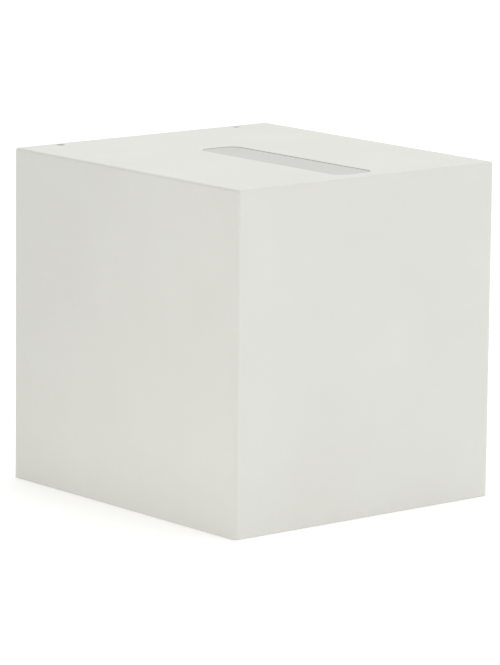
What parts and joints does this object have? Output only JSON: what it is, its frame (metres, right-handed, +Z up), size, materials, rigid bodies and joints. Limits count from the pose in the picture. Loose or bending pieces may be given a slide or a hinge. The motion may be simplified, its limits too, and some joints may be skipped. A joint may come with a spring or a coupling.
{
  "type": "display plinth",
  "caption": "Square-edged white display plinth: a hollow painted board box with an opal pane let into a long round-cornered slot in its flat top and sunk screws at the back.",
  "frame": {"origin": "centre of the footprint, on the surface that the plinth stands on", "axes": "+Z up; +X to the right-hand side; -Y is the front, the face that the slot starts behind; +Y is the back, the face that the two sunk screws are beside"},
  "size_m": [0.339, 0.366, 0.35],
  "materials": {
    "painted_board": "off-white eggshell paint over medium density fibreboard, joints filled",
    "opal_acrylic": "satin opal acrylic sheet",
    "raw_board": "bare medium density fibreboard",
    "softwood": "planed bare pine",
    "plywood": "bare birch plywood",
    "beech": "fluted beech dowel",
    "zinc_screw": "zinc plated"
  },
  "bodies": {
    "root": {"front_panel": "painted_board", "right_panel": "painted_board", "back_panel": "painted_board", "left_panel": "painted_board", "top_panel": "painted_board", "slot_pane": "opal_acrylic", "base_panel": "raw_board", "corner_tongue_front_left": "plywood", "corner_block_front_left": "softwood", "corner_tongue_front_right": "plywood", "corner_block_front_right": "softwood", "corner_tongue_back_right": "plywood", "corner_block_back_right": "softwood", "corner_tongue_back_left": "plywood", "corner_block_back_left": "softwood", "base_cleat_front": "softwood", "base_cleat_right": "softwood", "base_cleat_back": "softwood", "base_cleat_left": "softwood", "top_dowels": "beech", "top_screws": "zinc_screw", "cleat_screws": "zinc_screw", "base_screws": "zinc_screw"}
  },
  "joints": []
}
